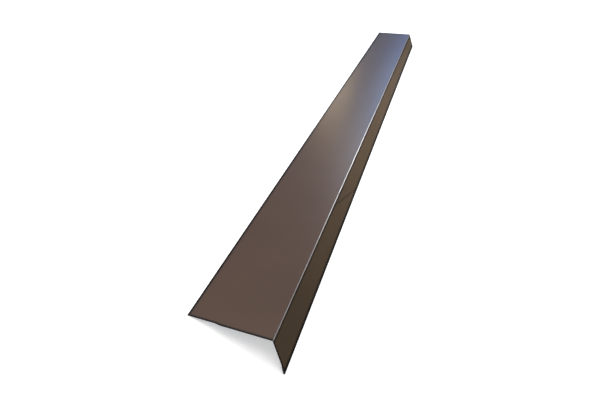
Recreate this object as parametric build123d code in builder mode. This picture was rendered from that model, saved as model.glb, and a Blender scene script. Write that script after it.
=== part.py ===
# Drip edge flashing: one strip of coated sheet steel, bent to an obtuse angle with a teardrop hem.
# It lies like a tent on its two long edges, bend uppermost: +X along its length, the face to -Y,
# the roof flange to +Y, +Z up, and the origin under the middle of the bounding box.
import os
from math import asin, atan2, cos, degrees, hypot, radians, sin, tan

from build123d import *

# Driving dimensions, in millimetres and degrees
length = 2000.0
sheet_thickness = 0.6
flange_width = 130.0  # from the sharp corner outside the bend to the rear edge
face_height = 56.5  # from the same corner to the underside of the hem
flange_to_face_angle = 110.0  # between flange and face, on the inside
bend_inside_radius = 1.4
hem_depth = 13.0  # from the underside of the hem up to its lip
hem_inside_radius = 0.8
hem_lip_gap = 0.3  # between the lip and the back of the face
cut_step_setback = 1.6  # how far the rear of the near cut stands back
cut_step_width = 44.0  # how much of the flange, from its rear edge, stands back
cut_step_ramp = 7.0  # the slanted part of that cut, beside the width above

# The section, seen from +X with the flange flat: x towards the rear edge, y out of its upper side
bend_angle = 180 - flange_to_face_angle
bend_outside_radius = bend_inside_radius + sheet_thickness
bend_setback = bend_outside_radius * tan(radians(bend_angle / 2))
face_direction = 180 + bend_angle
face_down = Vector(cos(radians(face_direction)), sin(radians(face_direction)))
face_inward = Vector(-face_down.Y, face_down.X)

# The hem's lip is where a line that touches the round of the hem comes to the back of the face
hem_outside_radius = hem_inside_radius + sheet_thickness
hem_centre = face_down * (face_height - hem_outside_radius) + face_inward * hem_outside_radius
lip_rise = hem_depth - hem_outside_radius
lip_inset = hem_inside_radius - hem_lip_gap
lip_reach = hypot(lip_rise, lip_inset)
hem_lean = degrees(atan2(lip_inset, lip_rise) + asin(hem_inside_radius / lip_reach))
hem_leaf_length = (lip_reach**2 - hem_inside_radius**2) ** 0.5

# The strip rests on the lower corner of its rear edge and on the round of the hem
rear_foot = Vector(flange_width, -sheet_thickness)
foot_to_hem = rear_foot - hem_centre
slope_to_hem = atan2(-foot_to_hem.Y, foot_to_hem.X)
rest_tilt = -slope_to_hem + asin(hem_outside_radius / foot_to_hem.length)


# Turns a point of the section, flange flat, to how the strip lies, with the bend at the origin
def rested(point):
    y = point.X * cos(rest_tilt) + point.Y * sin(rest_tilt)
    z = -point.X * sin(rest_tilt) + point.Y * cos(rest_tilt)
    return Vector(0, y, z)


front = rested(hem_centre).Y - hem_outside_radius
rear = rested(Vector(flange_width, 0)).Y
bend_corner = Vector(0, -(front + rear) / 2, -rested(rear_foot).Z)
flange_outward = rested(Vector(0, 1))
flange_rearward = rested(Vector(1, 0))

section_plane = Plane(origin=bend_corner, x_dir=flange_rearward, z_dir=(1, 0, 0))
near_end = bend_corner + Vector(-length / 2, 0, 0)
flange_plane = Plane(origin=near_end, x_dir=(1, 0, 0), z_dir=flange_outward)

with BuildPart() as flashing:
    # The bent strip: the line of its painted side, thickened towards the inside of the bend
    with BuildSketch(section_plane):
        with BuildLine():
            flange = Line((flange_width, 0), (bend_setback, 0))
            bend = JernArc(flange @ 1, flange % 1, bend_outside_radius, bend_angle)
            face = PolarLine(bend @ 1, face_height - bend_setback - hem_outside_radius, face_direction)
            hem = JernArc(face @ 1, face % 1, hem_outside_radius, 180 + hem_lean)
            leaf = PolarLine(hem @ 1, hem_leaf_length, direction=hem % 1)
            offset(amount=sheet_thickness, side=Side.LEFT)
        make_face()
    extrude(amount=length / 2, both=True)

    # The near cut: the shear left the rear of the flange a little short
    with BuildSketch(flange_plane):
        with BuildLine():
            Polyline(
                (0, flange_width - cut_step_width - cut_step_ramp),
                (cut_step_setback, flange_width - cut_step_width),
                (cut_step_setback, flange_width),
                (0, flange_width),
                close=True,
            )
        make_face()
    extrude(amount=-sheet_thickness, mode=Mode.SUBTRACT)

flashing.part.label = "drip_edge_flashing"
os.makedirs("parts", exist_ok=True)
export_step(flashing.part, "parts/drip_edge_flashing.step")
print("tilt of the flange at rest:", round(degrees(rest_tilt), 2), "degrees")
print("box:", flashing.part.bounding_box().size)
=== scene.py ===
# Drip edge flashing on a plain pale floor.
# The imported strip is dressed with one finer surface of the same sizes: a section carried along the
# length, with the brown coat outside, the backing coat inside and the bare steel of the cuts.
from math import asin, atan2, cos, degrees, hypot, pi, radians, sin, sqrt, tan

import bpy
import numpy as np
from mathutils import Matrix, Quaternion, Vector


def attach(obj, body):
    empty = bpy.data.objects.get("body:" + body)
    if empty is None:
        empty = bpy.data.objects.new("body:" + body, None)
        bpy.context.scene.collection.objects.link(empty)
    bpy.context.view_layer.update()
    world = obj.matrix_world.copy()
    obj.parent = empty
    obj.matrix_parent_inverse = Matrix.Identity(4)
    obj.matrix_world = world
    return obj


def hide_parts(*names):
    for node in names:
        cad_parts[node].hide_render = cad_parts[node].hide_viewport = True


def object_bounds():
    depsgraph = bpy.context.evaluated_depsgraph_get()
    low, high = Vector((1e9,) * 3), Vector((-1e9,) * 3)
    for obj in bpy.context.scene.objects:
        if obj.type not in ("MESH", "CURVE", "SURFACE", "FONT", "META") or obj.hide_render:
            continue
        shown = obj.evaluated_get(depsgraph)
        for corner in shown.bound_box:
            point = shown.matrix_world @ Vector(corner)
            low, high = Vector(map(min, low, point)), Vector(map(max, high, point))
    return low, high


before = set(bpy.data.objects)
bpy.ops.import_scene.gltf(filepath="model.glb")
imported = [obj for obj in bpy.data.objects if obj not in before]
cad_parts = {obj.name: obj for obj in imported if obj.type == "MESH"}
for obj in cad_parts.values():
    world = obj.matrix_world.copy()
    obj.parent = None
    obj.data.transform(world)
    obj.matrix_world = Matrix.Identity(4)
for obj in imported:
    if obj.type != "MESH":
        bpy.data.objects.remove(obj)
cadBox = [list(corner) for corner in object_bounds()]
nodeName = "drip_edge_flashing"
print("frame loaded, nodes", len(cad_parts), "box", cadBox)

# The main camera: its place in metres, its turns in degrees, and its picture in pixels
cameraSetup = {
    "place": (-1.563, -0.010, 0.617),
    "yaw": 15.06,  # from +X towards +Y
    "pitch": 29.42,  # downwards
    "roll": 19.50,  # right side up
    "pictureSize": (600, 400),
    "focalPixels": 549.5,
    "axisPixel": (207.0, 133.7),  # where the axis of the lens meets the picture
    "sensorWidth": 36,  # millimetres; the lens is worked out from it
    "clipStart": 0.05,  # metres
}


def makeCamera(setup):
    lens = bpy.data.cameras.new("camera")
    camera = bpy.data.objects.new("camera", lens)
    bpy.context.collection.objects.link(camera)
    width, height = setup["pictureSize"]
    lens.sensor_width = setup["sensorWidth"]
    lens.lens = setup["focalPixels"] / width * lens.sensor_width
    lens.shift_x = (width / 2 - setup["axisPixel"][0]) / width
    lens.shift_y = (setup["axisPixel"][1] - height / 2) / width
    yaw, pitch = radians(setup["yaw"]), radians(setup["pitch"])
    forward = Vector((cos(yaw) * cos(pitch), sin(yaw) * cos(pitch), -sin(pitch)))
    level = forward.to_track_quat("-Z", "Y")
    camera.rotation_mode = "QUATERNION"
    camera.rotation_quaternion = level @ Quaternion((0, 0, 1), radians(setup["roll"]))
    camera.location = setup["place"]
    lens.clip_start = setup["clipStart"]
    bpy.context.scene.camera = camera


makeCamera(cameraSetup)
print("camera placed")

# Sizes of the strip, in metres and degrees, as in the part
strip = {
    "thickness": 0.0006,
    "flange": 0.130,  # from the sharp corner outside the bend
    "face": 0.0565,  # from the same corner to the underside of the hem
    "insideAngle": 110,  # between flange and face
    "bendRadius": 0.0014,  # inside
    "hemDepth": 0.013,  # from its underside up to its lip
    "hemRadius": 0.0008,  # inside
    "lipGap": 0.0003,  # between the lip and the back of the face
    "stepBack": 0.0016,  # how far the rear of the near cut stands back
    "stepWidth": 0.044,  # how much of the flange, from its rear edge, stands back
    "stepRamp": 0.007,  # the slanted part of that cut, beside the width above
    "stepFade": 0.03,  # from the near cut, over which the grid lines ease back to square
    "cornerBreak": 0.00008,  # the worn corner along each cut
    "sheenStart": 20,  # degrees round the bend where its shinier, painted-highlight coat begins
    "dullEdge": 0.002,  # along the rear edge, where the coat has no gloss; it grows as the bands do
    "sharpAngle": 32,  # edges that turn more than this stay crisp
    # How finely each run of the section is cut up, and how many full rings the length has
    "samples": {"flange": 40, "bend": 14, "face": 24, "hem": 26, "leaf": 10},
    "rings": 161,
}

# The slight waves of the flat sheet, in metres and radians
waves = {
    "height": 0.00012,  # when all of them add up
    "sines": [  # turn per metre along, per metre across, phase, share
        (7.1, 31, 0.4, 1),
        (13.3, -52, 2.0, 0.7),
        (23, 17, 0, 0.5),
    ],
    "calmEnd": 0.05,  # from each end, along the strip
    "stopBefore": 0.004,  # from the corner of the bend
}

# Bands of painted shade, where the coat is darker along the cuts and the hem, beside the bend and
# at the far end: their reach in metres at the near end, and the share of the coat's colour left at
# the edge
bands = {
    "cut": (0.0048, 0.02),
    "hem": (0.0075, 0.03),
    "bend": (0.0055, 0.2),
    "farEnd": (0.030, 0.35),  # along the strip, at its far end
    "flat": 0.3,  # the share of each reach where the tone is still what it is at the edge
    "growth": 2.4,  # how many times as wide the bands along the strip are at the far end
    "gridReach": 0.03,  # from the rear edge, where the grid lines spread out with them
}

# The materials in the order of the mesh's slots
materialNames = ["flangeCoat", "bendCoat", "faceCoat", "backingCoat", "bareCut", "dullEdge"]
slotOf = {name: slot for slot, name in enumerate(materialNames)}


# The painted line of the section, walked from the rear edge: each run goes on in the last heading
# and turns evenly by its own angle, so a straight run is a turn of zero and a bend is an arc.
def paintedLine(size):
    bend = radians(180 - size["insideAngle"])
    outer = size["bendRadius"] + size["thickness"]
    hem = size["hemRadius"] + size["thickness"]
    setback = outer * tan(bend / 2)
    rise, inset = size["hemDepth"] - hem, size["hemRadius"] - size["lipGap"]
    lean = atan2(inset, rise) + asin(size["hemRadius"] / hypot(rise, inset))
    leaf = sqrt(hypot(rise, inset) ** 2 - size["hemRadius"] ** 2)
    runs = [  # name, length, turn
        ("flange", size["flange"] - setback, 0),
        ("bend", outer * bend, bend),
        ("face", size["face"] - setback - hem, 0),
        ("hem", hem * (pi + lean), pi + lean),
        ("leaf", leaf, 0),
    ]
    point, heading, walked = np.array([size["flange"], 0.0]), pi, 0.0
    points, headings, lengths, names = [point[None]], [[heading]], [[0.0]], []
    for name, length, turn in runs:
        samples = size["samples"][name]
        part = np.linspace(0, 1, samples + 1)[1:]
        part = part if turn else (1 - np.cos(pi * part)) / 2
        angle = heading + turn * part
        if turn:
            chords = [np.sin(angle) - sin(heading), cos(heading) - np.cos(angle)]
            along = length / turn * np.stack(chords, 1)
        else:
            along = length * part[:, None] * np.array([cos(heading), sin(heading)])
        points.append(point + along)
        headings.append(angle)
        lengths.append(walked + length * part)
        names += [name] * samples
        point, heading, walked = points[-1][-1], angle[-1], walked + length
    line, headings = np.concatenate(points), np.concatenate(headings)
    return line, headings, np.concatenate(lengths), np.array(names)


# One closed loop of the section: the painted side out, the lip, the back side home, the rear cut.
# The back side is the painted line moved inwards by the thickness, and the whole loop may be sunk
# into the sheet, as at the worn corners of the two ends.
def sectionLoop(line, travel, inward, size, sunk):
    thickness, worn = size["thickness"], size["cornerBreak"]
    trim = np.zeros((len(line), 1))
    trim[0], trim[-1] = worn, -worn
    outside = line + travel * trim + inward * sunk
    inside = line + travel * trim + inward * (thickness - sunk)
    levels = np.array([[worn], [thickness - worn]])
    lip = line[-1] - travel[-1] * sunk + inward[-1] * levels
    rearCut = line[0] + travel[0] * sunk + inward[0] * levels[::-1]
    return np.concatenate([outside, lip, inside[::-1], rearCut])


# How far each point stands off the flat sheet: sines of its place along and across the strip, times
# falls to nothing at the two ends, at the rear edge and before the bend
def waveHeights(setup, size, stations, walked):
    x = stations[:, None]
    total = sum(
        share * np.sin(x * along + walked * across + phase)
        for along, across, phase, share in setup["sines"]
    )
    calm = np.clip(np.minimum(x - x.min(), x.max() - x) / setup["calmEnd"], 0, 1)
    across = np.clip(walked / (size["flange"] - setup["stopBefore"]), 0, 1)
    shares = sum(sine[-1] for sine in setup["sines"])
    return total * calm * np.sin(pi * across) ** 2 * setup["height"] / shares


# A band of painted shade: its tone rises smoothly from its share at the edge to 1 where it ends
def bandTone(distance, reach, share):
    part = np.clip((distance / reach - bands["flat"]) / (1 - bands["flat"]), 0, 1)
    return share + (1 - share) * part**2 * (3 - 2 * part)


# Four-cornered faces: walls between the rings, then the two cut ends. In each ring come first the
# "count" points of the painted line, then two of the lip, "count" of the back and two of the cut.
def stripFaces(rings, count):
    around = 2 * count + 4
    ring = np.arange(rings - 1)[:, None] * around
    this, after = np.arange(around)[None], (np.arange(around)[None] + 1) % around
    walls = np.stack([ring + this, ring + after, ring + after + around, ring + this + around], -1)
    outerSide = np.concatenate([[around - 1], np.arange(count + 1)])
    innerSide = np.arange(around - 2, count, -1)
    cap = np.stack([outerSide[:-1], innerSide[:-1], innerSide[1:], outerSide[1:]], -1)
    lastRing = (rings - 1) * around
    return np.concatenate([walls.reshape(-1, 4), cap, cap[:, ::-1] + lastRing])


# The material of each of those faces. The bend's own coat begins a little way round it, every cut
# and worn corner is bare, and the cut of the hem is grey with backing coat.
def faceSlots(size, rings, heading, walked, runName):
    bare, grey = slotOf["bareCut"], slotOf["backingCoat"]
    turned = np.degrees(heading[1:] - pi).round(3)  # whole degrees stay whole
    onBend = (runName == "bend") & (turned > size["sheenStart"])
    above = np.isin(runName, ["flange", "bend"])
    painted = np.where(above, slotOf["flangeCoat"], slotOf["faceCoat"])
    painted[onBend] = slotOf["bendCoat"]
    painted[walked[1:] < size["dullEdge"]] = slotOf["dullEdge"]
    cut = [bare] * 3
    wall = np.concatenate([painted, cut, np.full(len(painted), grey), cut])
    walls = np.tile(wall, (rings - 1, 1))
    walls[[0, -1]] = bare
    inHem = np.isin(runName, ["hem", "leaf"])
    cap = np.concatenate([[bare], np.where(inHem, grey, bare), [bare]])
    return np.concatenate([walls.ravel(), cap, cap])


# The surface: the section's loop, ring after ring along X, turned until it lies as the strip does
def makeStrip(size, box):
    line, heading, walked, runName = paintedLine(size)
    travel = np.stack([np.cos(heading), np.sin(heading)], 1)
    inward = np.stack([-np.sin(heading), np.cos(heading)], 1)
    count, worn = len(line), size["cornerBreak"]
    firstOf = {name: np.flatnonzero(runName == name)[0] for name in ("face", "hem")}

    # The point of the painted line that each point of the loop belongs to
    out = np.arange(count)
    owner = np.concatenate([out, [count - 1, count - 1], out[::-1], [0, 0]])
    outward, walkedLoop = -inward[owner], walked[owner]

    # Rings along the length, close together at the two ends
    low, high = box[0][0], box[1][0]
    eased = (1 - np.cos(np.linspace(0, pi, size["rings"]))) / 2
    stations = low + worn / 2 + (high - low - worn) * eased
    stations = np.concatenate([[low], stations, [high]])
    plain = sectionLoop(line, travel, inward, size, 0)
    section = np.repeat(plain[None], len(stations), 0)
    section[0] = section[-1] = sectionLoop(line, travel, inward, size, worn / 2)
    heights = waveHeights(waves, size, stations, walkedLoop)
    section = section + outward[None] * heights[:, :, None]

    # The grid lines beside the rear edge spread out with the dark bands, in the flange's plane
    fromNear, fromFar = stations[:, None] - low, high - stations[:, None]
    growth = 1 + (bands["growth"] - 1) * fromNear / (high - low)
    easing = np.clip(1 - walkedLoop / bands["gridReach"], 0, 1) ** 2
    spread = (growth - 1) * walkedLoop * easing
    section[..., 0] -= spread
    walkedLoop = walkedLoop + spread

    # The near cut stands back at the rear of the flange
    rampStart = size["flange"] - size["stepWidth"] - size["stepRamp"]
    back = np.clip((plain[:, 0] - rampStart) / size["stepRamp"], 0, 1) * size["stepBack"]
    fade = np.clip(1 - fromNear / size["stepFade"], 0, 1)
    lengthwise = stations[:, None] + fade * back[None]

    # The coat's painted shade: the far end's band times the three that run along the strip
    fromHem = walked[firstOf["hem"]] - walkedLoop
    fromBend = walkedLoop - walked[firstOf["face"]]
    fromBend[fromBend <= 0] = np.inf  # the flange and the bend have no such band
    tone = bandTone(fromFar, *bands["farEnd"])
    edges = [(np.minimum(walkedLoop, fromNear), "cut"), (fromHem, "hem"), (fromBend, "bend")]
    for distance, name in edges:
        reach, share = bands[name]
        tone = tone * bandTone(distance, reach * growth, share)

    # The section lies on its rear edge and its hem
    hem = size["hemRadius"] + size["thickness"]
    hemCentre = line[firstOf["hem"]] + inward[firstOf["hem"]] * hem
    toFoot = line[0] + inward[0] * size["thickness"] - hemCentre
    tilt = atan2(toFoot[1], toFoot[0]) + asin(hem / hypot(*toFoot))
    y = section[..., 0] * cos(tilt) + section[..., 1] * sin(tilt)
    z = -section[..., 0] * sin(tilt) + section[..., 1] * cos(tilt)
    y += box[0][1] - y.min()
    z += box[0][2] - z.min()
    vertices = np.stack([lengthwise, y, z], -1).reshape(-1, 3)
    faces = stripFaces(len(stations), count)
    slots = faceSlots(size, len(stations), heading, walked, runName)

    mesh = bpy.data.meshes.new("brownStrip")
    mesh.from_pydata(vertices, [], faces)
    mesh.polygons.foreach_set("material_index", slots.astype(np.int32))
    mesh.polygons.foreach_set("use_smooth", np.ones(len(faces), bool))
    mesh.set_sharp_from_angle(angle=radians(size["sharpAngle"]))
    mesh.update()
    # The painted shade, carried on the mesh's points
    paintedShade = mesh.attributes.new("paintedShade", "FLOAT", "POINT")
    paintedShade.data.foreach_set("value", tone.astype(np.float32).ravel())
    piece = bpy.data.objects.new("brownStrip", mesh)
    bpy.context.collection.objects.link(piece)
    print("strip:", len(vertices), "vertices, tilt", round(degrees(tilt), 2))
    return piece


# What the four coats are made of: colours are linear red, green and blue
coats = {
    "flangeCoat": {
        "colour": (0.096, 0.060, 0.042),
        "roughness": 0.285,
        "gloss": 0.5,
        "index": 1.5,
        "tint": (1, 1, 1),  # of its reflections
    },
    "bendCoat": {  # paler than the flange: a painted highlight along the bend
        "colour": (0.165, 0.13, 0.1),
        "roughness": 0.3,
        "gloss": 0.5,
        "index": 7.0,
        "tint": (1, 0.9, 0.8),
    },
    "faceCoat": {
        # darker than the flange's coat on the same sheet: painted shade on the face
        "colour": (0.078, 0.051, 0.029),
        "roughness": 0.7,
        "gloss": 0.015,
        "index": 1.5,
        "tint": (1, 1, 1),
        # A painted dark reflection, a faint streak along the line where slope times x plus z is the
        # level: its reach to each side in metres, and the share of colour left on the line
        "darkReflection": {"slope": 0.213, "level": -0.0867, "reach": 0.003, "left": 0.62},
    },
    "dullEdge": {  # along the rear edge
        "colour": (0.096, 0.060, 0.042),
        "roughness": 0.7,
        "gloss": 0.015,
        "index": 1.5,
        "tint": (1, 1, 1),
    },
}

# What they share: clouds of colour, and a roughness drawn out along the strip as it was rolled.
# A grain is a noise's scale, its detail, and what the place is first multiplied by along x, y and
# z, so 0.04 draws the noise out 25 times along the strip.
coatGrain = {
    "clouds": (9.0, 3.0, (1, 1, 1)),
    "shades": (0.95, 1.05),  # the least and the most of the colour
    "rolling": (60.0, 4.0, (0.04, 1, 1)),
    "roughnessSpread": 0.008,  # up and down
}

# The thin grey backing coat, and the bare steel of the cuts, its colour darkened as painted shade
backing = {
    "colour": (0.30, 0.29, 0.27),
    "clouds": (14.0, 3.0, (0.2, 1, 1)),
    "shades": (0.93, 1.06),
    "roughness": (0.55, 0.62),
}
steel = {
    "colour": (0.045, 0.04, 0.037),
    "streaks": (2500.0, 2.0, (1, 1, 1)),
    "shades": (0.7, 1.3),
    "metallic": 0.6,
    "roughness": 0.5,
}
noiseMiddle = (0.3, 0.7)  # most of a noise's values lie between these
white = (1, 1, 1)


def newMaterial(name):
    material = bpy.data.materials.new(name)
    material.use_nodes = True
    tree = material.node_tree
    coordinates = tree.nodes.new("ShaderNodeTexCoord")
    return material, tree, tree.nodes["Principled BSDF"], coordinates.outputs["Object"]


# One step of arithmetic between sockets and plain numbers
def mathStep(tree, operation, *values):
    node = tree.nodes.new("ShaderNodeMath")
    node.operation = operation
    for socket, value in zip(node.inputs, values):
        if isinstance(value, bpy.types.NodeSocket):
            tree.links.new(value, socket)
        else:
            socket.default_value = value
    return node.outputs[0]


# A value carried from one range to another, and no further; smoothly or evenly
def carried(tree, value, start, end, smooth=True):
    node = tree.nodes.new("ShaderNodeMapRange")
    node.interpolation_type = "SMOOTHSTEP" if smooth else "LINEAR"
    node.inputs["From Min"].default_value, node.inputs["From Max"].default_value = start
    node.inputs["To Min"].default_value, node.inputs["To Max"].default_value = end
    tree.links.new(value, node.inputs["Value"])
    return node.outputs["Result"]


def noise(tree, where, grain):
    scale, detail, stretch = grain
    mapping = tree.nodes.new("ShaderNodeMapping")
    mapping.inputs["Scale"].default_value = stretch
    tree.links.new(where, mapping.inputs["Vector"])
    texture = tree.nodes.new("ShaderNodeTexNoise")
    texture.inputs["Scale"].default_value = scale
    texture.inputs["Detail"].default_value = detail
    tree.links.new(mapping.outputs["Vector"], texture.inputs["Vector"])
    return texture.outputs["Fac"]


def blendColours(tree, amount, first, second):
    mix = tree.nodes.new("ShaderNodeMix")
    mix.data_type = "RGBA"
    factor, colours = mix.inputs[0], [socket for socket in mix.inputs if socket.type == "RGBA"]
    colours[0].default_value, colours[1].default_value = (*first, 1), (*second, 1)
    tree.links.new(amount, factor)
    return next(socket for socket in mix.outputs if socket.type == "RGBA")


# A colour that drifts between its two shades as the noise does
def shaded(tree, drift, colour, shades):
    least, most = (np.array(colour) * share for share in shades)
    return blendColours(tree, carried(tree, drift, noiseMiddle, (0, 1), False), least, most)


# Colour share the painted dark reflection leaves: it rises smoothly from its line to 1 at its reach
def darkReflectionShare(tree, where, setup):
    slanted = tree.nodes.new("ShaderNodeVectorMath")
    slanted.operation = "DOT_PRODUCT"
    slanted.inputs[1].default_value = (setup["slope"], 0, 1)
    tree.links.new(where, slanted.inputs[0])
    away = mathStep(tree, "SUBTRACT", slanted.outputs["Value"], setup["level"])
    distance = mathStep(tree, "ABSOLUTE", away)
    return carried(tree, distance, (0, setup["reach"]), (setup["left"], 1))


# The coat: its colour times the painted shade that the mesh carries
def coatMaterial(name):
    coat = coats[name]
    material, tree, shader, where = newMaterial(name)
    clouds = noise(tree, where, coatGrain["clouds"])
    shade = shaded(tree, clouds, coat["colour"], coatGrain["shades"])
    tone = tree.nodes.new("ShaderNodeAttribute")
    tone.attribute_name = "paintedShade"
    share = tone.outputs["Fac"]
    if "darkReflection" in coat:
        share = mathStep(tree, "MULTIPLY", share, darkReflectionShare(tree, where, coat["darkReflection"]))
    toned = tree.nodes.new("ShaderNodeVectorMath")
    toned.operation = "SCALE"
    tree.links.new(shade, toned.inputs[0])
    tree.links.new(share, toned.inputs["Scale"])
    tree.links.new(toned.outputs["Vector"], shader.inputs["Base Color"])
    rolled = noise(tree, where, coatGrain["rolling"])
    spread = coatGrain["roughnessSpread"]
    ends = (coat["roughness"] - spread, coat["roughness"] + spread)
    roughness = carried(tree, rolled, noiseMiddle, ends, False)
    tree.links.new(roughness, shader.inputs["Roughness"])
    shader.inputs["Specular IOR Level"].default_value = coat["gloss"]
    shader.inputs["IOR"].default_value = coat["index"]
    shader.inputs["Specular Tint"].default_value = (*coat["tint"], 1)
    return material


def backingMaterial(setup):
    material, tree, shader, where = newMaterial("backingCoat")
    clouds = noise(tree, where, setup["clouds"])
    shade = shaded(tree, clouds, setup["colour"], setup["shades"])
    tree.links.new(shade, shader.inputs["Base Color"])
    roughness = carried(tree, clouds, noiseMiddle, setup["roughness"], False)
    tree.links.new(roughness, shader.inputs["Roughness"])
    return material


def steelMaterial(setup):
    material, tree, shader, where = newMaterial("bareCut")
    streaks = noise(tree, where, setup["streaks"])
    shade = shaded(tree, streaks, setup["colour"], setup["shades"])
    tree.links.new(shade, shader.inputs["Base Color"])
    shader.inputs["Metallic"].default_value = setup["metallic"]
    shader.inputs["Roughness"].default_value = setup["roughness"]
    return material


brownStrip = makeStrip(strip, cadBox)
materials = {name: coatMaterial(name) for name in coats}
materials["backingCoat"] = backingMaterial(backing)
materials["bareCut"] = steelMaterial(steel)
for name in materialNames:
    brownStrip.data.materials.append(materials[name])
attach(brownStrip, "root")
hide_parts(nodeName)
print("strip dressed")

# The floor, in metres. To rays of sight it glows, less near the strip so that the strip's shadow
# stays: "lift" is the two levels of the glow, "liftReach" the distances between which it rises.
floorSetup = {
    "half": 60.0,
    "colour": (0.85, 0.85, 0.85),
    "roughness": 0.9,
    "lift": (0.5, 1.0),
    "liftReach": (1.2, 3.0),
}
sightRays = ("Is Camera Ray", "Is Glossy Ray", "Is Transmission Ray")


# The greatest of several values
def greatest(tree, values):
    total = values[0]
    for value in values[1:]:
        total = mathStep(tree, "MAXIMUM", total, value)
    return total


def makeFloor(setup):
    half = setup["half"]
    mesh = bpy.data.meshes.new("floor")
    corners = [(-half, -half, 0), (half, -half, 0), (half, half, 0), (-half, half, 0)]
    mesh.from_pydata(corners, [], [(0, 1, 2, 3)])
    floor = bpy.data.objects.new("floor", mesh)
    bpy.context.collection.objects.link(floor)
    material, tree, shader, where = newMaterial("paleFloor")
    away = tree.nodes.new("ShaderNodeVectorMath")
    away.operation = "LENGTH"
    tree.links.new(where, away.inputs[0])
    level = carried(tree, away.outputs["Value"], setup["liftReach"], setup["lift"])
    path = tree.nodes.new("ShaderNodeLightPath")
    sight = greatest(tree, [path.outputs[ray] for ray in sightRays])
    glow = mathStep(tree, "MULTIPLY", sight, level)
    tree.links.new(glow, shader.inputs["Emission Strength"])
    shader.inputs["Emission Color"].default_value = (*white, 1)
    shader.inputs["Base Color"].default_value = (*setup["colour"], 1)
    shader.inputs["Roughness"].default_value = setup["roughness"]
    shader.inputs["Specular IOR Level"].default_value = 0
    mesh.materials.append(material)


makeFloor(floorSetup)

# Soft boxes and cards: place, aim and size in metres, roll and spread in degrees. Brightness 1 is
# as bright as white. A card without an aim faces straight back along the strip, towards -X.
lamps = {
    "overhead": {
        "place": (-0.9, 1.0, 2.8),
        "aim": (-0.4, 0, 0),
        "size": (4.4, 2.6),
        "bright": 3.4,
        "colour": (1, 0.95, 0.86),
    },
    "paleCard": {
        "place": (3.0, 0.94, 1.62),
        "roll": -35.7,
        "size": (0.15, 0.54),
        "bright": 9.2,
        "colour": (0.9, 0.94, 1),
    },
    "blueCard": {
        "place": (3.0, 0.625, 1.148),
        "roll": -35.7,
        "size": (0.12, 0.58),
        "bright": 9.6,
        "colour": (0.31, 0.58, 1),
    },
    "farCard": {
        "place": (3.0, 0.36, 0.714),
        "roll": -35.7,
        "size": (0.1, 0.44),
        "bright": 4.2,
        "colour": (0.26, 0.44, 1),
    },
    "warmCard": {
        "place": (3.0, 0.93, 0.69),
        "roll": -48.5,
        "size": (0.11, 0.47),
        "bright": 7.7,
        "colour": (1, 0.79, 0.48),
    },
    "bendMiddle": {
        "place": (3.0, -1.54, 0.785),
        "roll": 63.7,
        "size": (1.0, 0.6),
        "bright": 16.4,
        "colour": (0.72, 0.83, 1),
    },
    "faceSide": {
        "place": (0.35, -1.5, 0.75),
        "aim": (0.35, 0, 0),
        "size": (1.7, 0.8),
        "bright": 1.5,
        "colour": (0.92, 0.93, 0.93),
        "spread": 55,
    },
}


def makeLamps(lamps):
    for name, setup in lamps.items():
        light = bpy.data.lights.new(name, "AREA")
        light.shape = "RECTANGLE"
        light.size, light.size_y = setup["size"]
        # Pi times its area is the power at which a lamp looks as bright as white
        light.energy = pi * light.size * light.size_y * setup["bright"]
        light.color = setup["colour"]
        light.spread = radians(setup.get("spread", 180))
        lamp = bpy.data.objects.new(name, light)
        bpy.context.collection.objects.link(lamp)
        place = Vector(setup["place"])
        lamp.location = place
        toAim = Vector(setup["aim"]) - place if "aim" in setup else Vector((-1, 0, 0))
        lamp.rotation_mode = "QUATERNION"
        roll = Quaternion((0, 0, 1), radians(setup.get("roll", 0)))
        lamp.rotation_quaternion = toAim.to_track_quat("-Z", "Y") @ roll
        lamp.visible_camera = False


# The surroundings: dim bluish light from all round, and white where rays of sight look low.
# Each kind of ray meets white up to its first height, in degrees, and none from its second.
surroundings = {
    "colour": (0.07, 0.11, 0.19),
    "Is Camera Ray": (20, 35),
    "Is Glossy Ray": (0, 4),
    "Is Transmission Ray": (0, 4),
}


# White times the greatest of the three rays' own smooth falls with height, else the dim colour
def makeWorld(setup):
    world = bpy.data.worlds.new("studio")
    world.use_nodes = True
    bpy.context.scene.world = world
    tree = world.node_tree
    where = tree.nodes.new("ShaderNodeTexCoord")
    height = tree.nodes.new("ShaderNodeSeparateXYZ")
    tree.links.new(where.outputs["Generated"], height.inputs["Vector"])
    path = tree.nodes.new("ShaderNodeLightPath")
    seen = []
    for ray in sightRays:
        heights = [sin(radians(angle)) for angle in setup[ray]]
        fall = carried(tree, height.outputs["Z"], heights, (1, 0))
        seen.append(mathStep(tree, "MULTIPLY", fall, path.outputs[ray]))
    shown = blendColours(tree, greatest(tree, seen), setup["colour"], white)
    background = tree.nodes["Background"]
    tree.links.new(shown, background.inputs["Color"])
    background.inputs["Strength"].default_value = 1


makeLamps(lamps)
makeWorld(surroundings)
bpy.context.scene.view_settings.view_transform = "Standard"
print("stage lit")
